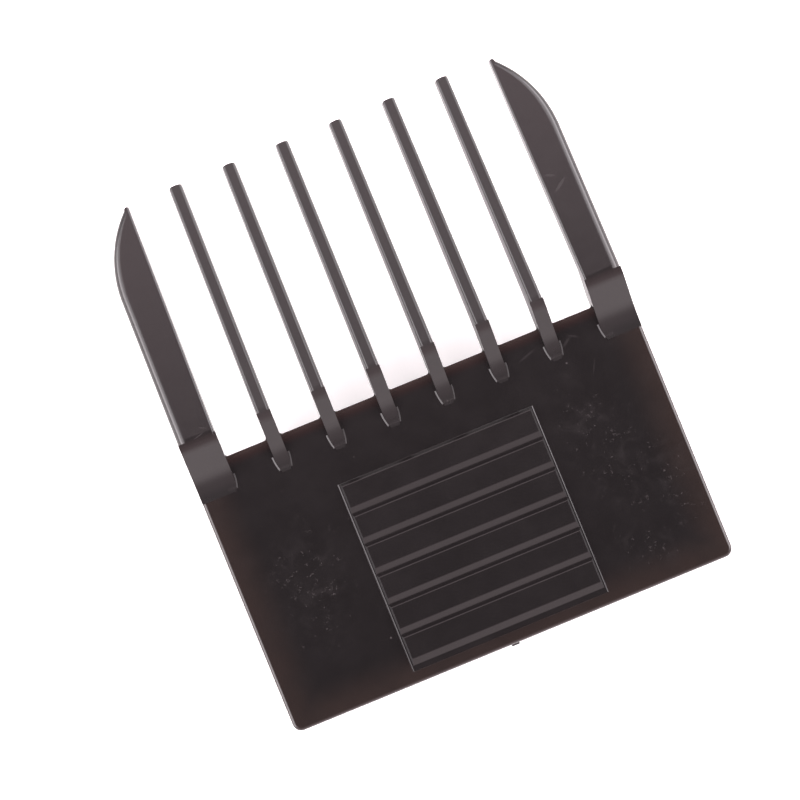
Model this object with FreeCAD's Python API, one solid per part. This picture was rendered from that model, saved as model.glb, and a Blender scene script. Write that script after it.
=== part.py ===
import FreeCAD, Part
import math
import os

# Clipper guard comb, millimetres.
# +X runs to the right seen from the skin side, +Y runs from the rear edge to the tooth tips,
# +Z points out of the skin side. The comb lies on the feet of its two side rails at Z = 0.
# Y positions in the list below are distances from the rear edge of the plate; every piece is
# moved back by ORIGIN_Y when it is saved, so that the origin is under the middle of the comb.

V = FreeCAD.Vector

# Driving sizes
PLATE_WIDTH = 46.0
PLATE_DEPTH = 27.4
PLATE_THICKNESS = 1.6
RAIL_HEIGHT = 5.4

HALF_WIDTH = PLATE_WIDTH / 2.0
PLATE_BOTTOM = RAIL_HEIGHT
PLATE_TOP = PLATE_BOTTOM + PLATE_THICKNESS

# Edges of the plate
REAR_CORNER_RADIUS = 0.9
EDGE_ROUND = 0.35
FRONT_BEVEL_LENGTH = 1.8
FRONT_BEVEL_RISE = 0.6

# Thumb grip: a panel let into the plate, with six ratchet-shaped ribs on it
PANEL_HALF_WIDTH = 10.2
PANEL_REAR = 1.25
PANEL_FRONT = 20.75
PANEL_INSET = 0.9
PANEL_PROUD = 0.08
PANEL_RIM_WIDTH = 0.11
PANEL_RIM_DROP = 0.045
PANEL_TOP = PLATE_TOP + PANEL_PROUD
RIB_COUNT = 6
RIB_PITCH = 3.16
RIB_HEIGHT = 0.32
RIB_WALL = 0.26
RIB_SLOPE = 0.66
RIB_END_INSET = 0.19
RIB_END_DRAFT = 0.16
RIB_FIRST_FOOT = 20.7
RIB_GAP = 0.04

# Teeth
FOOT_REAR = 23.9
FOOT_STEP = 0.05
FOOT_BLEND_RADIUS = 4.4
RAMP_START = 25.4
BEND_Y = 29.6
RAISE = 3.2
BEND_RADIUS = 2.4
RAMP_UNDERSIDE_START = 1.2
TIP_DROOP = 0.4
SHAFT_END = 0.15
ROOT_END = 0.45
INNER_COUNT = 6
INNER_PITCH = 5.68
INNER_WIDTH = 1.4
INNER_TIP = 53.4
INNER_TIP_DEPTH = 1.2
INNER_HEEL = 31.4
INNER_HEEL_RISE = 0.9
INNER_EDGE_ROUND = 0.24
DRAFT_DEPTH = 1.3
DRAFT_WIDTH = 0.12
TIP_CORNER_ROUND = 0.28
TIP_BULGE = 0.12
TOE_IN_PER_MM = 0.062

OUTER_INNER_EDGE = 19.2
OUTER_TIP = 53.3
OUTER_TIP_DEPTH = 1.1
OUTER_HEEL_DEPTH = 1.9
OUTER_CURVE_START = 45.0
OUTER_TIP_X = 19.8
OUTER_TIP_BULGE = 0.25
OUTER_EDGE_ROUND = 0.8
OUTER_EDGE_ROUND_AT_TIP = 0.4
OUTER_INNER_ROUND = 0.2
OUTER_PLAN_REAR = 23.0
OUTER_TOE_IN = 1.3
OUTER_FLARE = 0.14

# Small web in each corner between a tooth and the front edge of the plate
CORNER_WEB = 0.3

# Foot of each root: it narrows towards the rear, between two low ledges with bevelled sides
FOOT_FRONT = 25.6
FOOT_NARROWING = 0.24
LEDGE_REAR = 24.12
LEDGE_SIDE = 0.22
LEDGE_HEIGHT = 0.08
LEDGE_BEVEL_WIDTH = 0.14
LEDGE_BEVEL_DROP = 0.06

# Side rails, hinged on a thin flexible neck under the plate
RAIL_OUTER = 22.4
RAIL_THICKNESS = 1.2
RAIL_REAR = 1.6
RAIL_FRONT = 24.4
RAIL_END_ROUND = 1.4
LIP_REACH = 0.6
LIP_FOOT = 0.1
LIP_EDGE_LOW = 0.45
LIP_EDGE_HIGH = 0.675
LIP_SHOULDER = 1.26
LIP_REAR = 3.2
LIP_FRONT = 22.8
BEAD_RADIUS = 0.4
BEAD_Y = 19.0
BEAD_LENGTH = 2.6
BEAD_BELOW_PLATE = 0.9

# Blade stops under the two outer teeth, fins with a sloped front
STOP_REAR = 31.2
STOP_FOOT_LENGTH = 1.4
STOP_LENGTH = 4.6
STOP_WIDTH = 2.0
STOP_SIDE = 0.9
STOP_DROP = 1.6

# Trimmed remnant of the moulding gate on the rear edge
GATE_WIDTH = 0.8
GATE_REACH = 0.2
GATE_HEIGHT = 0.7
GATE_RISE = 0.25

ORIGIN_Y = (INNER_TIP - GATE_REACH) / 2.0

# Room that cutting shapes have past what they cut, and the size of a cutter without limits
CLEAR = 1.0
CUTTER = 100.0

# How closely a point has to lie on a face or line to count as on it
TOLERANCE = 0.01
FACE_TOLERANCE = 0.06
SHORTEST_LONG_EDGE = 2.0

LEFT = -1
RIGHT = 1
SIDES = {"left": LEFT, "right": RIGHT}


def prism(points, direction):
    """Closed polygon swept along a vector."""
    wire = Part.makePolygon(list(points) + [points[0]])
    return Part.Face(wire).extrude(direction)


def side_prism(outline, x_low, x_high):
    """Outline of (y, z) points swept along X."""
    points = [V(x_low, y, z) for y, z in outline]
    return prism(points, V(x_high - x_low, 0, 0))


def block(x_low, x_high, y_low, y_high, z_low, z_high):
    """Box from its lowest and highest corners, in either order along X."""
    x_start = min(x_low, x_high)
    size_x = abs(x_high - x_low)
    return Part.makeBox(size_x, y_high - y_low, z_high - z_low, V(x_start, y_low, z_low))


def middle(edge):
    """Point halfway along an edge."""
    return edge.valueAt((edge.FirstParameter + edge.LastParameter) / 2.0)


def edges_where(shape, test):
    """Edges whose middle point passes the test."""
    return [edge for edge in shape.Edges if test(middle(edge))]


def near(value, target):
    """True where two values are equal within the tolerance."""
    return abs(value - target) < TOLERANCE


def runs_along(edge, axis):
    """True for a straight edge parallel to the axis."""
    if edge.Curve.TypeId != "Part::GeomLine":
        return False
    return abs(abs(edge.tangentAt(edge.FirstParameter).dot(axis)) - 1.0) < 1e-6


def mirrored(shape, side):
    """The shape for the right side, or its mirror image for the left side."""
    if side == RIGHT:
        return shape
    return shape.mirror(V(0, 0, 0), V(1, 0, 0))


def plate_blank():
    """Plate with rounded rear corners, a bevel under the front and rounded side and rear edges."""
    bevel_start = PLATE_DEPTH - FRONT_BEVEL_LENGTH
    outline = [
        (0, PLATE_BOTTOM),
        (bevel_start, PLATE_BOTTOM),
        (PLATE_DEPTH, PLATE_BOTTOM + FRONT_BEVEL_RISE),
        (PLATE_DEPTH, PLATE_TOP),
        (0, PLATE_TOP),
    ]
    blank = side_prism(outline, -HALF_WIDTH, HALF_WIDTH)
    corners = [edge for edge in blank.Edges if runs_along(edge, V(0, 0, 1)) and near(middle(edge).y, 0)]
    blank = blank.makeFillet(REAR_CORNER_RADIUS, corners)

    def on_rounded_rim(point):
        on_top = near(point.z, PLATE_TOP)
        at_rear = point.y < REAR_CORNER_RADIUS
        at_side = near(abs(point.x), HALF_WIDTH)
        return on_top and (at_rear or at_side)

    return blank.makeFillet(EDGE_ROUND, edges_where(blank, on_rounded_rim))


def panel_block(z_low, z_high):
    """Rectangular block with the outline of the grip panel."""
    return block(-PANEL_HALF_WIDTH, PANEL_HALF_WIDTH, PANEL_REAR, PANEL_FRONT, z_low, z_high)


def base_plate(blank):
    """Plate with the seat of the grip panel cut into its skin side."""
    return blank.cut(panel_block(PLATE_TOP - PANEL_INSET, PLATE_TOP + CLEAR))


def grip_panel():
    """Panel that stands a hair above the plate, with a narrow bevel along its left and right."""
    rim_z = PANEL_TOP - PANEL_RIM_DROP
    flat_half_width = PANEL_HALF_WIDTH - PANEL_RIM_WIDTH
    section = [
        V(-PANEL_HALF_WIDTH, PANEL_REAR, PLATE_TOP - PANEL_INSET),
        V(PANEL_HALF_WIDTH, PANEL_REAR, PLATE_TOP - PANEL_INSET),
        V(PANEL_HALF_WIDTH, PANEL_REAR, rim_z),
        V(flat_half_width, PANEL_REAR, PANEL_TOP),
        V(-flat_half_width, PANEL_REAR, PANEL_TOP),
        V(-PANEL_HALF_WIDTH, PANEL_REAR, rim_z),
    ]
    return prism(section, V(0, PANEL_FRONT - PANEL_REAR, 0))


def grip_rib(index):
    """One ratchet rib: a steep wall to the front, a flat land, and a long slope to the rear."""
    foot = RIB_FIRST_FOOT - index * RIB_PITCH
    tail = foot - RIB_PITCH + RIB_GAP
    top = PANEL_TOP + RIB_HEIGHT
    outline = [
        (foot, PANEL_TOP),
        (foot - RIB_WALL, top),
        (tail + RIB_SLOPE, top),
        (tail, PANEL_TOP),
    ]
    long_rib = side_prism(outline, -PANEL_HALF_WIDTH, PANEL_HALF_WIDTH)
    foot_x = PANEL_HALF_WIDTH - RIB_END_INSET
    top_x = foot_x - RIB_END_DRAFT
    drafted_ends = [
        V(-foot_x, tail, PANEL_TOP),
        V(foot_x, tail, PANEL_TOP),
        V(top_x, tail, top),
        V(-top_x, tail, top),
    ]
    return long_rib.common(prism(drafted_ends, V(0, RIB_PITCH, 0)))


def tooth_blank(x_low, x_high, tip_y, tip_depth, heel_y, heel_z):
    """Foot that blends into a ramp, a rounded bend, then a bar that thins towards the tip."""
    face_z = PLATE_TOP + RAISE
    tip_top = face_z - TIP_DROOP
    outline = [
        (FOOT_REAR, PLATE_TOP + FOOT_STEP),
        (RAMP_START, PLATE_TOP + FOOT_STEP),
        (BEND_Y, face_z),
        (tip_y, tip_top),
        (tip_y, tip_top - tip_depth),
        (heel_y, heel_z),
        (PLATE_DEPTH + RAMP_UNDERSIDE_START, PLATE_BOTTOM),
        (FOOT_REAR, PLATE_BOTTOM),
    ]
    blank = side_prism(outline, x_low, x_high)
    blank = blank.makeFillet(BEND_RADIUS, edges_where(blank, lambda point: near(point.y, BEND_Y)))
    return blank.makeFillet(FOOT_BLEND_RADIUS, edges_where(blank, lambda point: near(point.y, RAMP_START)))


def split_at_bend(blank):
    """Root behind the bend, and shaft in front of it; the two overlap a little."""
    past_root = block(-CUTTER, CUTTER, BEND_Y + ROOT_END, CUTTER, -CUTTER, CUTTER)
    shaft_space = block(-CUTTER, CUTTER, BEND_Y + SHAFT_END, CUTTER, -CUTTER, CUTTER)
    return blank.cut(past_root), blank.common(shaft_space)


def top_long_edges(shaft, test):
    """Edges that run forward along the skin face of a shaft."""
    found = []
    for edge in shaft.Edges:
        point = middle(edge)
        start = edge.valueAt(edge.FirstParameter)
        end = edge.valueAt(edge.LastParameter)
        drop = (point.y - BEND_Y) * TIP_DROOP / (INNER_TIP - BEND_Y)
        on_face = abs(point.z - (PLATE_TOP + RAISE - drop)) < FACE_TOLERANCE
        is_long = abs(end.y - start.y) > SHORTEST_LONG_EDGE
        if on_face and is_long and test(point):
            found.append(edge)
    return found


def lean(shape, x, angle):
    """Shape turned about an upright line at the bend, by degrees."""
    turned = shape.copy()
    turned.rotate(V(x, BEND_Y, 0), V(0, 0, 1), angle)
    return turned


def drafted_section(faces, depth_below):
    """Space under the sloping skin face of a shaft; each side is (x at the face, x at full width)."""
    slope = TIP_DROOP / (INNER_TIP - BEND_Y)
    start_y = BEND_Y - CLEAR
    face_z = PLATE_TOP + RAISE + CLEAR * slope
    above = CLEAR / DRAFT_DEPTH
    (left_top, left_full), (right_top, right_full) = faces
    outline = [
        (left_full, -depth_below),
        (left_full, -DRAFT_DEPTH),
        (left_top + (left_top - left_full) * above, CLEAR),
        (right_top + (right_top - right_full) * above, CLEAR),
        (right_full, -DRAFT_DEPTH),
        (right_full, -depth_below),
    ]
    points = [V(x, start_y, face_z + z) for x, z in outline]
    length = INNER_TIP - start_y + CLEAR
    return prism(points, V(0, length, -length * slope))


def foot_plan(x_low, x_high, rear, narrowing, height):
    """Upright block that narrows in two curves from FOOT_FRONT to its rear end."""
    middle_y = (FOOT_FRONT + rear) / 2.0
    bulge = narrowing * 0.25
    low_front = V(x_low, FOOT_FRONT, PLATE_TOP)
    high_front = V(x_high, FOOT_FRONT, PLATE_TOP)
    low_rear = V(x_low + narrowing, rear, PLATE_TOP)
    high_rear = V(x_high - narrowing, rear, PLATE_TOP)
    edges = [
        Part.Arc(low_front, V(x_low + bulge, middle_y, PLATE_TOP), low_rear).toShape(),
        Part.LineSegment(low_rear, high_rear).toShape(),
        Part.Arc(high_rear, V(x_high - bulge, middle_y, PLATE_TOP), high_front).toShape(),
        Part.LineSegment(high_front, low_front).toShape(),
    ]
    return Part.Face(Part.Wire(edges)).extrude(V(0, 0, height))


def narrowed(root, x_low, x_high):
    """Root whose foot on the plate narrows towards the rear."""
    foot = foot_plan(x_low, x_high, FOOT_REAR, FOOT_NARROWING, CUTTER)
    ahead = block(-CUTTER, CUTTER, FOOT_FRONT, CUTTER, -CUTTER, CUTTER)
    return root.common(foot.fuse(ahead))


def ledge(x_low, x_high):
    """Low ledge that a root's foot stands in, bevelled along its outer edges."""
    x_left = x_low - LEDGE_SIDE
    x_right = x_high + LEDGE_SIDE
    plan = foot_plan(x_left, x_right, LEDGE_REAR, FOOT_NARROWING, LEDGE_HEIGHT)
    top_z = PLATE_TOP + LEDGE_HEIGHT
    rim = edges_where(plan, lambda point: near(point.z, top_z) and point.y < FOOT_FRONT - TOLERANCE)
    return plan.makeChamfer(LEDGE_BEVEL_DROP, LEDGE_BEVEL_WIDTH, rim)


def corner_web(x, direction):
    """Upright web with a hollow round face, between the front edge and the tooth side at x."""
    z_low = PLATE_BOTTOM + FRONT_BEVEL_RISE
    height = PLATE_THICKNESS - FRONT_BEVEL_RISE
    at_edge = V(x + direction * CORNER_WEB, PLATE_DEPTH, z_low)
    at_tooth = V(x, PLATE_DEPTH + CORNER_WEB, z_low)
    corner = V(x, PLATE_DEPTH, z_low)
    hollow = CORNER_WEB * (1.0 - math.sqrt(0.5))
    face_middle = V(x + direction * hollow, PLATE_DEPTH + hollow, z_low)
    edges = [
        Part.LineSegment(corner, at_edge).toShape(),
        Part.Arc(at_edge, face_middle, at_tooth).toShape(),
        Part.LineSegment(at_tooth, corner).toShape(),
    ]
    return Part.Face(Part.Wire(edges)).extrude(V(0, 0, height))


def blunt_plan(x):
    """Upright block with the plan of an inner shaft: a slightly convex end with rounded corners."""
    half_width = INNER_WIDTH / 2.0
    side_y = INNER_TIP - TIP_BULGE
    rear_y = BEND_Y - CLEAR
    edges = [
        Part.LineSegment(V(x - half_width, side_y, 0), V(x - half_width, rear_y, 0)).toShape(),
        Part.LineSegment(V(x - half_width, rear_y, 0), V(x + half_width, rear_y, 0)).toShape(),
        Part.LineSegment(V(x + half_width, rear_y, 0), V(x + half_width, side_y, 0)).toShape(),
        Part.Arc(V(x + half_width, side_y, 0), V(x, INNER_TIP, 0), V(x - half_width, side_y, 0)).toShape(),
    ]
    plan = Part.Face(Part.Wire(edges)).extrude(V(0, 0, CUTTER))
    corners = [edge for edge in plan.Edges if runs_along(edge, V(0, 0, 1)) and middle(edge).y > BEND_Y]
    return plan.makeFillet(TIP_CORNER_ROUND, corners)


def inner_tooth(index, plate):
    """Narrow tooth: square-sided ramp, then a bar with rounded skin-side edges and a blunt tip."""
    x = (index - (INNER_COUNT - 1) / 2.0) * INNER_PITCH
    x_low = x - INNER_WIDTH / 2.0
    x_high = x + INNER_WIDTH / 2.0
    heel_z = PLATE_BOTTOM + INNER_HEEL_RISE
    blank = tooth_blank(x_low, x_high, INNER_TIP, INNER_TIP_DEPTH, INNER_HEEL, heel_z)
    root, shaft = split_at_bend(blank)
    half_face = INNER_WIDTH / 2.0 - DRAFT_WIDTH
    faces = ((x - half_face, x_low), (x + half_face, x_high))
    shaft = shaft.common(drafted_section(faces, CUTTER)).common(blunt_plan(x))
    shaft = shaft.makeFillet(INNER_EDGE_ROUND, top_long_edges(shaft, lambda point: True))
    shaft = lean(shaft, x, TOE_IN_PER_MM * x)
    webs = [corner_web(x_low, LEFT), corner_web(x_high, RIGHT)]
    additions = [shaft, ledge(x_low, x_high)] + webs
    root = narrowed(root.cut(plate), x_low, x_high)
    return root.fuse(additions).cut(plate).removeSplitter()


def outer_plan():
    """Knife-shaped plan of the right outer tooth, which widens a little before it curves in to the tip."""
    tip_side_y = OUTER_TIP - OUTER_TIP_BULGE
    side_x = HALF_WIDTH + OUTER_FLARE
    reach_x = side_x - OUTER_TIP_X
    reach_y = tip_side_y - OUTER_CURVE_START
    radius = (reach_x ** 2 + reach_y ** 2) / (2.0 * reach_x)
    half_angle = math.asin(reach_y / radius) / 2.0
    mid_x = side_x - radius * (1.0 - math.cos(half_angle))
    mid_y = OUTER_CURVE_START + radius * math.sin(half_angle)
    inner_rear = V(OUTER_INNER_EDGE, OUTER_PLAN_REAR, 0)
    outer_rear = V(HALF_WIDTH, OUTER_PLAN_REAR, 0)
    outer_bend = V(HALF_WIDTH, BEND_Y, 0)
    curve_start = V(side_x, OUTER_CURVE_START, 0)
    curve_mid = V(mid_x, mid_y, 0)
    tip_outer = V(OUTER_TIP_X, tip_side_y, 0)
    tip_end = V((OUTER_TIP_X + OUTER_INNER_EDGE) / 2.0, OUTER_TIP, 0)
    tip_inner = V(OUTER_INNER_EDGE, tip_side_y, 0)
    edges = [
        Part.LineSegment(inner_rear, outer_rear).toShape(),
        Part.LineSegment(outer_rear, outer_bend).toShape(),
        Part.LineSegment(outer_bend, curve_start).toShape(),
        Part.Arc(curve_start, curve_mid, tip_outer).toShape(),
        Part.Arc(tip_outer, tip_end, tip_inner).toShape(),
        Part.LineSegment(tip_inner, inner_rear).toShape(),
    ]
    return Part.Face(Part.Wire(edges)).extrude(V(0, 0, CUTTER))


def outer_tooth(side, plate):
    """Wide knife-shaped tooth; its outer edge is broadly rounded, less so towards the tip."""
    heel_z = PLATE_TOP + RAISE - OUTER_HEEL_DEPTH
    x_low = OUTER_INNER_EDGE - CLEAR
    x_high = HALF_WIDTH + CLEAR
    blank = tooth_blank(x_low, x_high, OUTER_TIP, OUTER_TIP_DEPTH, INNER_HEEL, heel_z)
    root, shaft = split_at_bend(blank.common(outer_plan()))
    face_x = OUTER_INNER_EDGE + DRAFT_WIDTH
    faces = ((face_x, OUTER_INNER_EDGE), (HALF_WIDTH + CLEAR, HALF_WIDTH + CLEAR))
    shaft = shaft.common(drafted_section(faces, CUTTER))
    outer_edges = top_long_edges(shaft, lambda point: point.x > OUTER_INNER_EDGE + CLEAR)
    shaft = shaft.makeFillet(OUTER_EDGE_ROUND_AT_TIP, OUTER_EDGE_ROUND, outer_edges)
    inner_edges = top_long_edges(shaft, lambda point: near(point.x, face_x))
    shaft = shaft.makeFillet(OUTER_INNER_ROUND, inner_edges)
    shaft = lean(shaft, HALF_WIDTH, OUTER_TOE_IN)
    root = narrowed(root.cut(plate), OUTER_INNER_EDGE, HALF_WIDTH * 2.0)
    side_ledge = ledge(OUTER_INNER_EDGE, HALF_WIDTH * 2.0)
    side_ledge = side_ledge.common(block(0, OUTER_INNER_EDGE + CLEAR, 0, PLATE_DEPTH, 0, CUTTER))
    tooth = root.fuse([shaft, side_ledge, corner_web(OUTER_INNER_EDGE, LEFT)])
    return mirrored(tooth, side).cut(plate).removeSplitter()


def side_rail(side):
    """Rail that grips the clipper head, round at its top where it flexes."""
    inner = RAIL_OUTER - RAIL_THICKNESS
    radius = RAIL_THICKNESS / 2.0
    neck_z = PLATE_BOTTOM - radius
    wall = block(inner, RAIL_OUTER, RAIL_REAR, RAIL_FRONT, 0, neck_z)
    neck_start = V(inner + radius, RAIL_REAR, neck_z)
    neck = Part.makeCylinder(radius, RAIL_FRONT - RAIL_REAR, neck_start, V(0, 1, 0))
    foot_corners = [edge for edge in wall.Edges if runs_along(edge, V(1, 0, 0)) and near(middle(edge).z, 0)]
    wall = wall.makeFillet(RAIL_END_ROUND, foot_corners)
    return mirrored(wall.fuse(neck).removeSplitter(), side)


def retaining_lip(side):
    """Low inward lip along the foot of a rail, sloped so the head can push past it."""
    inner = RAIL_OUTER - RAIL_THICKNESS
    corners = [
        V(inner, LIP_REAR, LIP_FOOT),
        V(inner, LIP_REAR, LIP_SHOULDER),
        V(inner - LIP_REACH, LIP_REAR, LIP_EDGE_HIGH),
        V(inner - LIP_REACH, LIP_REAR, LIP_EDGE_LOW),
    ]
    return mirrored(prism(corners, V(0, LIP_FRONT - LIP_REAR, 0)), side)


def snap_bead(side):
    """Upright half-round bead inside a rail that clicks into the clipper head."""
    inner = RAIL_OUTER - RAIL_THICKNESS
    z_high = PLATE_BOTTOM - BEAD_BELOW_PLATE
    z_low = z_high - BEAD_LENGTH
    bead = Part.makeCylinder(BEAD_RADIUS, BEAD_LENGTH, V(inner, BEAD_Y, z_low))
    inside = block(inner - CLEAR, inner, BEAD_Y - CLEAR, BEAD_Y + CLEAR, z_low, z_high)
    return mirrored(bead.common(inside), side)


def blade_stop(side, tooth):
    """Fin under an outer tooth that the front corner of the blade meets."""
    x_low = OUTER_INNER_EDGE + STOP_SIDE
    foot_z = PLATE_BOTTOM - STOP_DROP
    top_z = PLATE_TOP + RAISE - OUTER_TIP_DEPTH
    outline = [
        (STOP_REAR, foot_z),
        (STOP_REAR + STOP_FOOT_LENGTH, foot_z),
        (STOP_REAR + STOP_LENGTH, top_z),
        (STOP_REAR, top_z),
    ]
    stop = side_prism(outline, x_low, x_low + STOP_WIDTH)
    return mirrored(stop, side).cut(tooth)


def gate_nub():
    """Small trimmed stub in the middle of the rear edge."""
    z_low = PLATE_BOTTOM + GATE_RISE
    return block(-GATE_WIDTH / 2, GATE_WIDTH / 2, -GATE_REACH, 0, z_low, z_low + GATE_HEIGHT)


def save(name, shape):
    """Write one node, with the origin moved under the middle of the comb."""
    placed = shape.copy()
    placed.translate(V(0, -ORIGIN_Y, 0))
    if not placed.isValid() or len(placed.Solids) != 1:
        print("check", name, "valid", placed.isValid(), "solids", len(placed.Solids))
    placed.Solids[0].exportStep(os.path.join("parts", name + ".step"))


def main():
    os.makedirs("parts", exist_ok=True)
    blank = plate_blank()
    save("base_plate", base_plate(blank))
    save("grip_panel", grip_panel())
    for index in range(RIB_COUNT):
        save("grip_rib_%d" % (index + 1), grip_rib(index))
    for index in range(INNER_COUNT):
        save("inner_tooth_%d" % (index + 1), inner_tooth(index, blank))
    for name, side in SIDES.items():
        tooth = outer_tooth(side, blank)
        save("outer_tooth_" + name, tooth)
        save("blade_stop_" + name, blade_stop(side, tooth))
        save("side_rail_" + name, side_rail(side))
        save("retaining_lip_" + name, retaining_lip(side))
        save("snap_bead_" + name, snap_bead(side))
    save("gate_nub", gate_nub())


main()
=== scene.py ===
import math

import bmesh
import bpy
from mathutils import Matrix, Vector


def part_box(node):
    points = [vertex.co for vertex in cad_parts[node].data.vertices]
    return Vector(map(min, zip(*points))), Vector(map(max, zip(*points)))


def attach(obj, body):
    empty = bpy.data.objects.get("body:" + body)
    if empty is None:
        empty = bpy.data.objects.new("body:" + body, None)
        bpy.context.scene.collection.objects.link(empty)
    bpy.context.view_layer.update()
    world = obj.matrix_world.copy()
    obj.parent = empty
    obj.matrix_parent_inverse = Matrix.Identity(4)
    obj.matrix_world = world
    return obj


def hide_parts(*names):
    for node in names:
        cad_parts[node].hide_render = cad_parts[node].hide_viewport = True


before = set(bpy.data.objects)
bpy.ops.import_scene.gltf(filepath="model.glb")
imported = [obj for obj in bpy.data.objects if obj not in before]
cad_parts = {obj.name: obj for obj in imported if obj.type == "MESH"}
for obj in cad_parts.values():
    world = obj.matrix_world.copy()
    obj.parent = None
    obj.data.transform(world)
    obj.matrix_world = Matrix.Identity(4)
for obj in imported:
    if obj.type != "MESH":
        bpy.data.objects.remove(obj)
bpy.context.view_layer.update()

# Clipper guard comb: looks, studio and camera, in metres, in the frame of the CAD model.

MM = 0.001

# Camera: nearly straight above the comb, turned so that the comb stands askew in the picture
AIM = Vector((-1.48, -0.51, 7.0)) * MM
DISTANCE = 414.8 * MM
LEAN_LEFT = math.radians(1.86)
LEAN_REAR = math.radians(0.16)
TURN = math.radians(22.23)
LENS = 192.6
SENSOR = 36.0

# Edge softening of the moulded pieces
RIB_EDGE = 0.05 * MM
PLATE_EDGE = 0.06 * MM
PANEL_FRONT_EDGE = 0.07 * MM
RAIL_EDGE = 0.12 * MM
TRIM_EDGE = 0.06 * MM
SHARP_ANGLE = math.radians(22.0)
CREASE_ANGLE = math.radians(36.0)
FLAT_ANGLE = math.radians(0.4)
EDGE_SEGMENTS = 3
WELD = 0.0005 * MM
FACE_TOLERANCE = 0.02 * MM
RAIL_NECK_BELOW_TOP = 1.0 * MM
STOP_END_LENGTH = 0.5 * MM
FLAT_FACE_WEIGHT = 90

# Counts and places along the comb
RIB_COUNT = 6
INNER_TOOTH_COUNT = 6
BEND_AHEAD_OF_PLATE = 2.2 * MM
FOOT_BEHIND_PLATE_FRONT = 3.3 * MM
LEDGE_LENGTH = 1.6 * MM
LEDGE_FADE_END = 1.9 * MM

# Plastic
BROWN_BLACK = (0.0050, 0.0044, 0.0046)
# Painted light: warm and lighter glow of light through thin plastic, and painted sheen towards the
# edges
PAINTED_GLOW_WARM = (0.0115, 0.0056, 0.0054)
PAINTED_SHEEN_PALE = (0.0125, 0.0088, 0.0078)
PAINTED_GLOW_THIN = (0.0240, 0.0165, 0.0150)
DULL_GREY = (0.024, 0.0215, 0.022)
DUST = (0.085, 0.079, 0.079)
IOR = 1.5
SPECK_CORE = 0.08
SPECK_RIM = 0.26
GRAIN_SIZE = 0.22 * MM
GRAIN_DEPTH = 0.0011 * MM
WAVE_SIZE = 2.4 * MM
WAVE_DEPTH = 0.006 * MM
SCRATCH_DEPTH = 0.002 * MM
LINT_SPACING = 0.55 * MM
WORN_PALER = 0.5
WORN_ROUGHER = 0.10
DUST_PALER = 0.4

# How far the painted sheen and glow reach in from the edges and out from the bend
SHEEN_SIDE_REACH = 4.2 * MM
SHEEN_REAR_REACH = 4.0 * MM
GLOW_FRONT_REACH = 1.3 * MM
THIN_GLOW_FRONT_REACH = 0.8 * MM
BEND_GLOW_REACH = 0.9 * MM
BEND_GLOW_SHARE = 0.3

# Roughness
PLATE_POLISH = 0.17
PANEL_POLISH = 0.19
RIB_POLISH = 0.19
FOOT_POLISH = 0.27
INNER_BAR_POLISH = 0.36
OUTER_BAR_POLISH = 0.24
RAIL_POLISH = 0.38
TRIM_POLISH = 0.5
PAPER_POLISH = 0.9
LEDGE_DULLING = 0.45

# Studio
FLOOR_SIZE = 5.0
FLOOR_COLOUR = (0.86, 0.86, 0.86)
FLOOR_GLOW = 0.4
SKY_COLOUR = (0.82, 0.74, 0.75)
SKY_HORIZON = 1.95
SKY_ZENITH = 0.08
SKY_FADE_START = 0.35
SKY_FADE_END = 0.76
REAR_WALL = 0.82
REAR_WALL_START = -0.04
REAR_WALL_END = -0.50
SIDE_LIGHT = (1.0, 0.93, 0.96)
WARM_LIGHT = (1.0, 0.79, 0.83)

# Lamps; each side lamp has a name, its degrees from straight above and its brightness
SIDE_LAMPS = (("high", 35.0, 5.0), ("low", 61.0, 9.2))
SIDE_LAMP_AWAY = 0.62
SIDE_LAMP_FORWARD = 0.04
SIDE_LAMP_LENGTH = 0.60
SIDE_LAMP_WIDTH = 0.29
TIP_LAMP_PLACE = (0.0, 0.38, 0.60)
TIP_LAMP_AIM = (0.0, 0.38, 0.0)
TIP_LAMP_WIDTH = 0.50
TIP_LAMP_LENGTH = 0.66
TIP_LAMP_BRIGHTNESS = 2.4


# ---------------------------------------------------------------- materials


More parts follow.
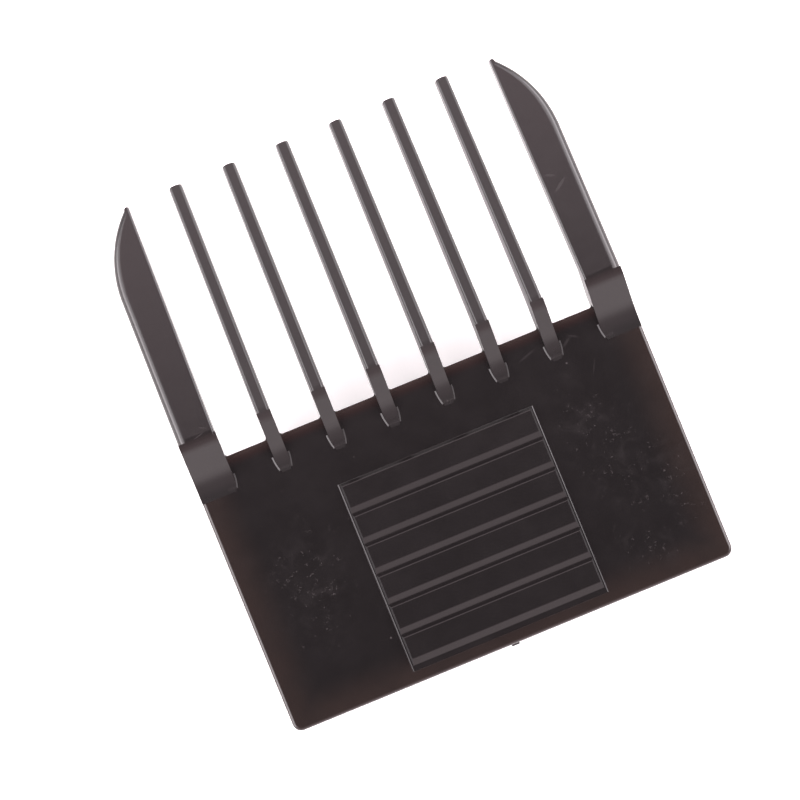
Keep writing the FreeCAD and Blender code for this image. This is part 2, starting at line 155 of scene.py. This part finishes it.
class Graph:
    """Short names for the shader nodes that the plastics are made of."""

    def __init__(self, name):
        self.material = bpy.data.materials.new(name)
        self.material.use_nodes = True
        self.tree = self.material.node_tree
        self.tree.nodes.clear()
        self.place = self.add("ShaderNodeTexCoord").outputs["Object"]

    def add(self, kind, **settings):
        node = self.tree.nodes.new(kind)
        for key, value in settings.items():
            setattr(node, key, value)
        return node

    def plug(self, value, socket):
        if isinstance(value, bpy.types.NodeSocket):
            self.tree.links.new(value, socket)
        else:
            socket.default_value = value

    def maths(self, operation, first, second=0.0, clamp=False):
        node = self.add("ShaderNodeMath", operation=operation, use_clamp=clamp)
        self.plug(first, node.inputs[0])
        self.plug(second, node.inputs[1])
        return node.outputs[0]

    def noise(self, size, detail=3.0, roughness=0.55, distortion=0.0, place=None):
        """Noise whose features are about size metres wide."""
        node = self.add("ShaderNodeTexNoise")
        self.plug(place or self.place, node.inputs["Vector"])
        node.inputs["Scale"].default_value = 1.0 / size
        node.inputs["Detail"].default_value = detail
        node.inputs["Roughness"].default_value = roughness
        node.inputs["Distortion"].default_value = distortion
        return node.outputs["Fac"]

    def between(self, value, low, high, to_low=0.0, to_high=1.0):
        """Smooth step of a value from one range to another."""
        node = self.add("ShaderNodeMapRange", interpolation_type="SMOOTHSTEP")
        self.plug(value, node.inputs["Value"])
        node.inputs["From Min"].default_value = low
        node.inputs["From Max"].default_value = high
        node.inputs["To Min"].default_value = to_low
        node.inputs["To Max"].default_value = to_high
        return node.outputs["Result"]

    def mix(self, share, first, second):
        node = self.add("ShaderNodeMix", data_type="RGBA")
        self.plug(share, node.inputs["Factor"])
        for value, socket in ((first, node.inputs["A"]), (second, node.inputs["B"])):
            self.plug(value if isinstance(value, bpy.types.NodeSocket) else (*value, 1.0), socket)
        return node.outputs["Result"]

    def axis(self, name):
        node = self.add("ShaderNodeSeparateXYZ")
        self.plug(self.place, node.inputs[0])
        return node.outputs[name]

    def turned(self, centre, angle, size):
        """Place seen from a mark: centred on it, turned to it and scaled to its half sizes."""
        node = self.add("ShaderNodeMapping", vector_type="TEXTURE")
        self.plug(self.place, node.inputs["Vector"])
        node.inputs["Location"].default_value = [c * MM for c in centre]
        node.inputs["Rotation"].default_value = (0.0, 0.0, math.radians(angle))
        node.inputs["Scale"].default_value = [s * MM for s in size]
        return node.outputs["Vector"]

    def mark(self, centre, angle, size):
        """Soft-edged oval mark; centre and half sizes in millimetres."""
        length = self.add("ShaderNodeVectorMath", operation="LENGTH")
        self.plug(self.turned(centre, angle, size), length.inputs[0])
        return self.between(length.outputs["Value"], 0.25, 1.0, 1.0, 0.0)

    def largest(self, values):
        """The largest of several masks."""
        total = values[0]
        for value in values[1:]:
            total = self.maths("MAXIMUM", total, value)
        return total

    def specks(self, size, share):
        """Sparse dots, as of lint; size is their spacing in metres."""
        cells = self.add("ShaderNodeTexVoronoi")
        self.plug(self.place, cells.inputs["Vector"])
        cells.inputs["Scale"].default_value = 1.0 / size
        near = self.between(cells.outputs["Distance"], SPECK_CORE, SPECK_RIM, 1.0, 0.0)
        parts = self.add("ShaderNodeSeparateColor")
        self.plug(cells.outputs["Color"], parts.inputs[0])
        chosen = self.maths("GREATER_THAN", parts.outputs[0], 1.0 - share)
        strength = self.between(parts.outputs[1], 0.0, 1.0, 0.25, 1.0)
        return self.maths("MULTIPLY", self.maths("MULTIPLY", near, chosen), strength)

    def flecks(self, field):
        """Fine irregular flecks gathered in small groups inside a field."""
        groups = self.between(self.noise(1.1 * MM, 3.0, 0.6, 1.2), 0.56, 0.66)
        grit = self.between(self.noise(0.26 * MM, 2.0, 0.6, 0.8), 0.50, 0.72)
        return self.maths("MULTIPLY", grit, self.maths("MULTIPLY", groups, field))

    def smudges(self, field):
        """Faint cloudy finger marks inside a field."""
        clouds = self.between(self.noise(1.7 * MM, 4.0, 0.55, 0.8), 0.44, 0.78)
        return self.maths("MULTIPLY", clouds, field)

    def scratches(self, angle, pitch, share):
        """Fine parallel handling lines in patches; pitch is in millimetres."""
        stretched = self.turned((0, 0, 0), angle, (pitch * 40, pitch, pitch * 40))
        thin = self.noise(1.0, 2.0, 0.5, place=stretched)
        patches = self.between(self.noise(5.0 * MM, 2.0), 0.5, 0.68)
        lines = self.between(thin, 1.0 - share, 1.0 - share + 0.03)
        return self.maths("MULTIPLY", lines, patches)

    def bump(self, height, depth, normal=None):
        node = self.add("ShaderNodeBump")
        self.plug(height, node.inputs["Height"])
        node.inputs["Distance"].default_value = depth
        node.inputs["Strength"].default_value = 1.0
        if normal is not None:
            self.plug(normal, node.inputs["Normal"])
        return node.outputs["Normal"]

    def surface(self, colour, roughness, normal):
        shader = self.add("ShaderNodeBsdfPrincipled")
        self.plug(colour, shader.inputs["Base Color"])
        self.plug(roughness, shader.inputs["Roughness"])
        self.plug(normal, shader.inputs["Normal"])
        shader.inputs["IOR"].default_value = IOR
        output = self.add("ShaderNodeOutputMaterial")
        self.plug(shader.outputs[0], output.inputs["Surface"])
        return self.material


def plastic(name, polish, grain=1.0, painted_lights=None, marks=None, dust=None, hairlines=0.15, lint=0.003):
    """Brown-black moulded plastic with fine grain, uneven polish, hairlines and lint, and the painted
    glow and sheen given to it.

    polish is a roughness or a function of the graph; tints, marks and dust are functions of the graph.
    """
    g = Graph(name)
    cloud = g.noise(6.0 * MM, 3.0)
    colour = g.mix(g.between(cloud, 0.3, 0.7, 0.0, 0.03), BROWN_BLACK, DULL_GREY)
    # Painted light: glow and sheen mixed into the colour
    for share, painted_light in painted_lights(g) if painted_lights else []:
        colour = g.mix(share, colour, painted_light)
    worn = g.scratches(24.0, 0.10, 0.30)
    worn = g.maths("MAXIMUM", worn, g.scratches(-58.0, 0.12, 0.27))
    worn = g.maths("MULTIPLY", worn, hairlines)
    if marks:
        worn = g.maths("MAXIMUM", worn, marks(g))
    colour = g.mix(g.maths("MULTIPLY", worn, WORN_PALER), colour, DULL_GREY)
    dots = g.specks(LINT_SPACING, lint)
    if dust:
        dots = g.maths("MAXIMUM", dots, dust(g))
    colour = g.mix(g.maths("MULTIPLY", dots, DUST_PALER), colour, DUST)
    uneven = g.between(g.noise(3.0 * MM, 4.0, 0.6), 0.25, 0.75, -0.012, 0.014)
    rough = g.maths("ADD", polish(g) if callable(polish) else polish, uneven)
    rough = g.maths("ADD", rough, g.maths("MULTIPLY", worn, WORN_ROUGHER), clamp=True)
    normal = g.bump(g.noise(GRAIN_SIZE, 2.0), GRAIN_DEPTH * grain)
    normal = g.bump(g.noise(WAVE_SIZE, 2.0), WAVE_DEPTH * grain, normal)
    normal = g.bump(g.maths("MULTIPLY", worn, -1.0), SCRATCH_DEPTH, normal)
    return g.surface(colour, rough, normal)


def plate_painted_glow(g):
    """Painted sheen, paler towards the side and rear edges, and painted glow, warm and lighter along
    the front.

    It stands for light that comes through the plastic where it is thin.
    """
    across = g.maths("ABSOLUTE", g.axis("X"))
    side = g.between(across, half_width - SHEEN_SIDE_REACH, half_width + 0.2 * MM, 0.0, 1.1)
    rear = g.between(g.axis("Y"), plate_rear + 0.2 * MM, plate_rear + SHEEN_REAR_REACH, 1.0, 0.0)
    cloudy = g.between(g.noise(3.5 * MM, 3.0), 0.25, 0.7, 0.7, 1.0)
    edge_sheen = g.maths("MULTIPLY", g.maths("MAXIMUM", side, rear), cloudy, clamp=True)
    # Painted glow along the front, where light comes through the thin plastic
    front_glow = g.between(g.axis("Y"), plate_front - GLOW_FRONT_REACH, plate_front - 0.4 * MM)
    thin = g.between(g.axis("Y"), plate_front - THIN_GLOW_FRONT_REACH, plate_front + 0.1 * MM)
    return [(edge_sheen, PAINTED_SHEEN_PALE), (front_glow, PAINTED_GLOW_WARM), (thin, PAINTED_GLOW_THIN)]


def plate_field(g):
    """The handled part of the plate: beside the grip and towards the rear corners."""
    return g.largest([
        g.mark((15.5, -12.5, 7.0), 12.0, (5.2, 11.0, 9.0)),
        g.mark((20.0, -17.0, 7.0), 8.0, (3.2, 8.0, 9.0)),
        g.mark((15.0, -22.5, 7.0), 60.0, (3.0, 5.5, 9.0)),
        g.mark((-16.0, -14.0, 7.0), -10.0, (5.5, 9.5, 9.0)),
    ])


def plate_marks(g):
    """Faint smudges beside the grip, and short strokes and smears near the front."""
    strokes = g.largest([
        g.mark((11.5, -1.2, 7.0), 18.0, (1.3, 0.16, 9.0)),
        g.mark((15.6, -1.4, 7.0), 35.0, (0.9, 0.2, 9.0)),
        g.mark((16.4, -1.1, 7.0), -30.0, (0.8, 0.16, 9.0)),
        g.mark((17.2, -4.6, 7.0), 62.0, (1.1, 0.09, 9.0)),
    ])
    smudges = g.maths("MULTIPLY", g.smudges(plate_field(g)), 0.28)
    return g.maths("MAXIMUM", smudges, g.maths("MULTIPLY", strokes, 0.4))


def plate_dust(g):
    """Flecks on the handled part of the plate."""
    return g.flecks(plate_field(g))


def plate_plastic():
    return plastic("plate_plastic", PLATE_POLISH, painted_lights=plate_painted_glow, marks=plate_marks, dust=plate_dust)


def panel_plastic():
    return plastic("panel_plastic", PANEL_POLISH, grain=1.4)


def rib_plastic():
    return plastic("rib_plastic", RIB_POLISH, grain=1.6)


def bend_painted_glow(g):
    """Painted warm glow of light through the tooth at the bend."""
    away = g.maths("ABSOLUTE", g.maths("SUBTRACT", g.axis("Y"), bend_y))
    share = g.between(away, 0.1 * MM, BEND_GLOW_REACH, BEND_GLOW_SHARE, 0.0)
    return [(share, PAINTED_GLOW_WARM)]


def dull_ledge(g):
    """Extra roughness on the side of each ledge that faces right, which the photograph shows faint."""
    facing = g.add("ShaderNodeSeparateXYZ")
    g.plug(g.add("ShaderNodeNewGeometry").outputs["Normal"], facing.inputs[0])
    on_right = g.between(facing.outputs["X"], 0.2, 0.35)
    behind = g.between(g.axis("Y"), foot_y + LEDGE_LENGTH, foot_y + LEDGE_FADE_END, 1.0, 0.0)
    return g.maths("MULTIPLY", g.maths("MULTIPLY", on_right, behind), LEDGE_DULLING)


def satin(g, on_bar):
    """Roughness of a tooth, which changes from its foot to its bar."""
    along = g.between(g.axis("Y"), foot_y, bend_y - 0.5 * MM, FOOT_POLISH, on_bar)
    return g.maths("ADD", along, dull_ledge(g))


def inner_tooth_polish(g):
    return satin(g, INNER_BAR_POLISH)


def outer_tooth_polish(g):
    return satin(g, OUTER_BAR_POLISH)


def tooth_plastic():
    return plastic("tooth_plastic", inner_tooth_polish, painted_lights=bend_painted_glow)


def outer_tooth_marks(g):
    """Scuffs halfway along the right outer tooth and short hairlines at the left one's bend."""
    return g.largest([
        g.maths("MULTIPLY", g.mark((20.6, 12.9, 9.6), 35.0, (1.2, 0.22, 9.0)), 0.8),
        g.maths("MULTIPLY", g.mark((20.0, 14.1, 9.6), -20.0, (0.8, 0.18, 9.0)), 0.6),
        g.maths("MULTIPLY", g.mark((-20.8, 3.6, 9.8), 15.0, (0.8, 0.08, 9.0)), 0.8),
        g.maths("MULTIPLY", g.mark((-20.2, 4.2, 9.8), -25.0, (0.6, 0.07, 9.0)), 0.6),
    ])


def outer_tooth_plastic():
    return plastic(
        "outer_tooth_plastic",
        outer_tooth_polish,
        painted_lights=bend_painted_glow,
        marks=outer_tooth_marks,
    )


def rail_plastic():
    return plastic("rail_plastic", RAIL_POLISH, grain=1.6)


def trim_plastic():
    """Cut or tooled places, duller than the rest."""
    return plastic("trim_plastic", TRIM_POLISH, grain=3.0)


def floor_paper():
    """Pale sheet on a light table."""
    g = Graph("floor_paper")
    colour = g.mix(g.noise(60.0 * MM, 3.0), FLOOR_COLOUR, [c * 0.985 for c in FLOOR_COLOUR])
    shader = g.add("ShaderNodeBsdfPrincipled")
    g.plug(colour, shader.inputs["Base Color"])
    shader.inputs["Roughness"].default_value = PAPER_POLISH
    shader.inputs["Specular IOR Level"].default_value = 0.1
    shader.inputs["Emission Color"].default_value = (1.0, 1.0, 1.0, 1.0)
    shader.inputs["Emission Strength"].default_value = FLOOR_GLOW
    output = g.add("ShaderNodeOutputMaterial")
    g.plug(shader.outputs[0], output.inputs["Surface"])
    return g.material


# ---------------------------------------------------------------- pieces


def paint(piece, material):
    piece.data.materials.clear()
    piece.data.materials.append(material)


def sharp_edges(mesh, test):
    """Edges between faces that meet at a clear angle, where the test of their middle passes."""
    found = []
    for edge in mesh.edges:
        if len(edge.link_faces) != 2:
            continue
        if edge.calc_face_angle(0.0) < SHARP_ANGLE:
            continue
        if test((edge.verts[0].co + edge.verts[1].co) / 2.0):
            found.append(edge)
    return found


def softened(node, edges, body, material):
    """Piece that stands for a node, with softened edges.

    edges lists, for each kind of edge, its width and a test of the edge's middle.
    """
    mesh = bmesh.new()
    mesh.from_mesh(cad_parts[node].data)
    bmesh.ops.remove_doubles(mesh, verts=mesh.verts, dist=WELD)
    bmesh.ops.dissolve_limit(mesh, angle_limit=FLAT_ANGLE, verts=mesh.verts, edges=mesh.edges)
    for width, test in edges:
        bmesh.ops.bevel(
            mesh,
            geom=sharp_edges(mesh, test),
            offset=width,
            segments=EDGE_SEGMENTS,
            profile=0.5,
            affect="EDGES",
            clamp_overlap=True,
        )
    for face in mesh.faces:
        face.smooth = True
    for edge in mesh.edges:
        edge.smooth = len(edge.link_faces) == 2 and edge.calc_face_angle(0.0) < CREASE_ANGLE
    data = bpy.data.meshes.new(node + "_moulded")
    mesh.to_mesh(data)
    mesh.free()
    piece = bpy.data.objects.new(node + "_moulded", data)
    bpy.context.scene.collection.objects.link(piece)
    paint(piece, material)
    normals = piece.modifiers.new("flat_faces", "WEIGHTED_NORMAL")
    normals.weight = FLAT_FACE_WEIGHT
    normals.keep_sharp = True
    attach(piece, body)
    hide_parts(node)


def make_base_plate():
    def on_skin_or_front(point):
        on_skin = abs(point.z - plate_top) < FACE_TOLERANCE
        return on_skin or point.y > plate_front - FACE_TOLERANCE

    softened("base_plate", [(PLATE_EDGE, on_skin_or_front)], "comb_body", plate_plastic())


def make_grip():
    material = rib_plastic()
    panel_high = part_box("grip_panel")[1]

    def at_panel_front(point):
        on_top = point.z > panel_high.z - FACE_TOLERANCE
        return on_top and point.y > panel_high.y - FACE_TOLERANCE

    def on_crest(point):
        return point.z > panel_high.z + FACE_TOLERANCE and abs(point.x) < panel_high.x / 2.0

    softened("grip_panel", [(PANEL_FRONT_EDGE, at_panel_front)], "comb_body", panel_plastic())
    for index in range(1, RIB_COUNT + 1):
        softened("grip_rib_%d" % index, [(RIB_EDGE, on_crest)], "comb_body", material)


def make_teeth():
    material = tooth_plastic()
    for index in range(1, INNER_TOOTH_COUNT + 1):
        paint(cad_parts["inner_tooth_%d" % index], material)
    outer = outer_tooth_plastic()
    for side in ("left", "right"):
        paint(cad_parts["outer_tooth_" + side], outer)


def make_rail(side, material):
    """One rail with its lip and bead."""
    neck_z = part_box("side_rail_" + side)[1].z - RAIL_NECK_BELOW_TOP
    inner_x = min(abs(c.x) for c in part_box("side_rail_" + side))

    def under_neck(point):
        return point.z < neck_z

    def off_wall(point):
        return abs(point.x) < inner_x - FACE_TOLERANCE

    body = "rail_" + side
    softened("side_rail_" + side, [(RAIL_EDGE, under_neck)], body, material)
    softened("retaining_lip_" + side, [(TRIM_EDGE, off_wall)], body, material)
    paint(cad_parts["snap_bead_" + side], material)


def make_blade_stop(side, material):
    """The fin that stops the blade on one side."""
    low_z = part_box("blade_stop_" + side)[0].z

    def at_low_end(point):
        return point.z < low_z + STOP_END_LENGTH

    softened("blade_stop_" + side, [(TRIM_EDGE, at_low_end)], "comb_body", material)


def make_gate_nub(material):
    """The trimmed stub of the moulding gate, on the rear edge."""

    def off_plate(point):
        return point.y < plate_rear - FACE_TOLERANCE

    softened("gate_nub", [(TRIM_EDGE, off_plate)], "comb_body", material)


def make_hidden_side():
    """Rails with their lips and beads, the blade stops and the gate's stub."""
    material = rail_plastic()
    trim = trim_plastic()
    for side in ("left", "right"):
        make_rail(side, material)
        make_blade_stop(side, material)
    make_gate_nub(trim)


# ---------------------------------------------------------------- studio


def make_floor():
    data = bpy.data.meshes.new("floor")
    half = FLOOR_SIZE / 2.0
    ring = [(-half, -half, 0), (half, -half, 0), (half, half, 0), (-half, half, 0)]
    data.from_pydata(ring, [], [(0, 1, 2, 3)])
    floor = bpy.data.objects.new("floor", data)
    floor.location.z = -0.01 * MM
    bpy.context.scene.collection.objects.link(floor)
    paint(floor, floor_paper())


def make_sky():
    """Pale all round and dim overhead, with a warm glow that grows towards the rear."""
    world = bpy.data.worlds.new("studio_walls")
    bpy.context.scene.world = world
    world.use_nodes = True
    tree = world.node_tree
    tree.nodes.clear()
    place = tree.nodes.new("ShaderNodeTexCoord")
    parts = tree.nodes.new("ShaderNodeSeparateXYZ")
    tree.links.new(place.outputs["Generated"], parts.inputs[0])
    level = tree.nodes.new("ShaderNodeMapRange")
    level.interpolation_type = "SMOOTHSTEP"
    tree.links.new(parts.outputs["Z"], level.inputs["Value"])
    level.inputs["From Min"].default_value = SKY_FADE_START
    level.inputs["From Max"].default_value = SKY_FADE_END
    level.inputs["To Min"].default_value = SKY_HORIZON
    level.inputs["To Max"].default_value = SKY_ZENITH
    back = tree.nodes.new("ShaderNodeBackground")
    back.inputs["Color"].default_value = (*SKY_COLOUR, 1.0)
    tree.links.new(level.outputs["Result"], back.inputs["Strength"])
    wall_level = tree.nodes.new("ShaderNodeMapRange")
    tree.links.new(parts.outputs["Y"], wall_level.inputs["Value"])
    wall_level.inputs["From Min"].default_value = REAR_WALL_START
    wall_level.inputs["From Max"].default_value = REAR_WALL_END
    wall_level.inputs["To Max"].default_value = REAR_WALL
    wall = tree.nodes.new("ShaderNodeBackground")
    wall.inputs["Color"].default_value = (*WARM_LIGHT, 1.0)
    tree.links.new(wall_level.outputs["Result"], wall.inputs["Strength"])
    both = tree.nodes.new("ShaderNodeAddShader")
    tree.links.new(back.outputs[0], both.inputs[0])
    tree.links.new(wall.outputs[0], both.inputs[1])
    output = tree.nodes.new("ShaderNodeOutputWorld")
    tree.links.new(both.outputs[0], output.inputs["Surface"])


def softbox(name, place, aim, width, height, brightness, colour):
    """Rectangular lamp that faces aim; brightness is what a mirror would show."""
    data = bpy.data.lights.new(name, "AREA")
    data.shape = "RECTANGLE"
    data.size = width
    data.size_y = height
    data.energy = brightness * math.pi * width * height
    data.color = colour
    lamp = bpy.data.objects.new(name, data)
    lamp.location = place
    lamp.rotation_euler = (Vector(aim) - Vector(place)).to_track_quat("-Z", "Y").to_euler()
    lamp.visible_camera = False
    bpy.context.scene.collection.objects.link(lamp)


def make_lamps():
    """Two lamps on each side, the lower one brighter, and one above and past the tips."""
    middle = (0.0, 0.0, 0.0)
    for side, sign in (("left", -1), ("right", 1)):
        for level, angle, brightness in SIDE_LAMPS:
            name = "lamp_%s_%s" % (side, level)
            from_top = math.radians(angle)
            across = sign * SIDE_LAMP_AWAY * math.sin(from_top)
            place = (across, SIDE_LAMP_FORWARD, SIDE_LAMP_AWAY * math.cos(from_top))
            softbox(name, place, middle, SIDE_LAMP_LENGTH, SIDE_LAMP_WIDTH, brightness, SIDE_LIGHT)
    softbox(
        "lamp_tips",
        TIP_LAMP_PLACE,
        TIP_LAMP_AIM,
        TIP_LAMP_WIDTH,
        TIP_LAMP_LENGTH,
        TIP_LAMP_BRIGHTNESS,
        WARM_LIGHT,
    )


def make_camera():
    back = Vector((-math.sin(LEAN_LEFT), -math.sin(LEAN_REAR), 1.0)).normalized()
    up = Vector((math.sin(TURN), math.cos(TURN), 0.0))
    right = up.cross(back).normalized()
    up = back.cross(right)
    data = bpy.data.cameras.new("camera")
    data.lens = LENS
    data.sensor_width = SENSOR
    data.clip_start = 0.01
    camera = bpy.data.objects.new("camera", data)
    turn = Matrix((right, up, back)).transposed()
    camera.matrix_world = Matrix.Translation(AIM + back * DISTANCE) @ turn.to_4x4()
    bpy.context.scene.collection.objects.link(camera)
    bpy.context.scene.camera = camera


plate_low, plate_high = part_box("base_plate")
plate_rear = plate_low.y
plate_front = plate_high.y
plate_top = plate_high.z
half_width = plate_high.x
bend_y = plate_front + BEND_AHEAD_OF_PLATE
foot_y = plate_front - FOOT_BEHIND_PLATE_FRONT

bpy.context.scene.view_settings.view_transform = "Standard"
make_base_plate()
make_grip()
make_teeth()
make_hidden_side()
make_floor()
make_sky()
make_lamps()
make_camera()
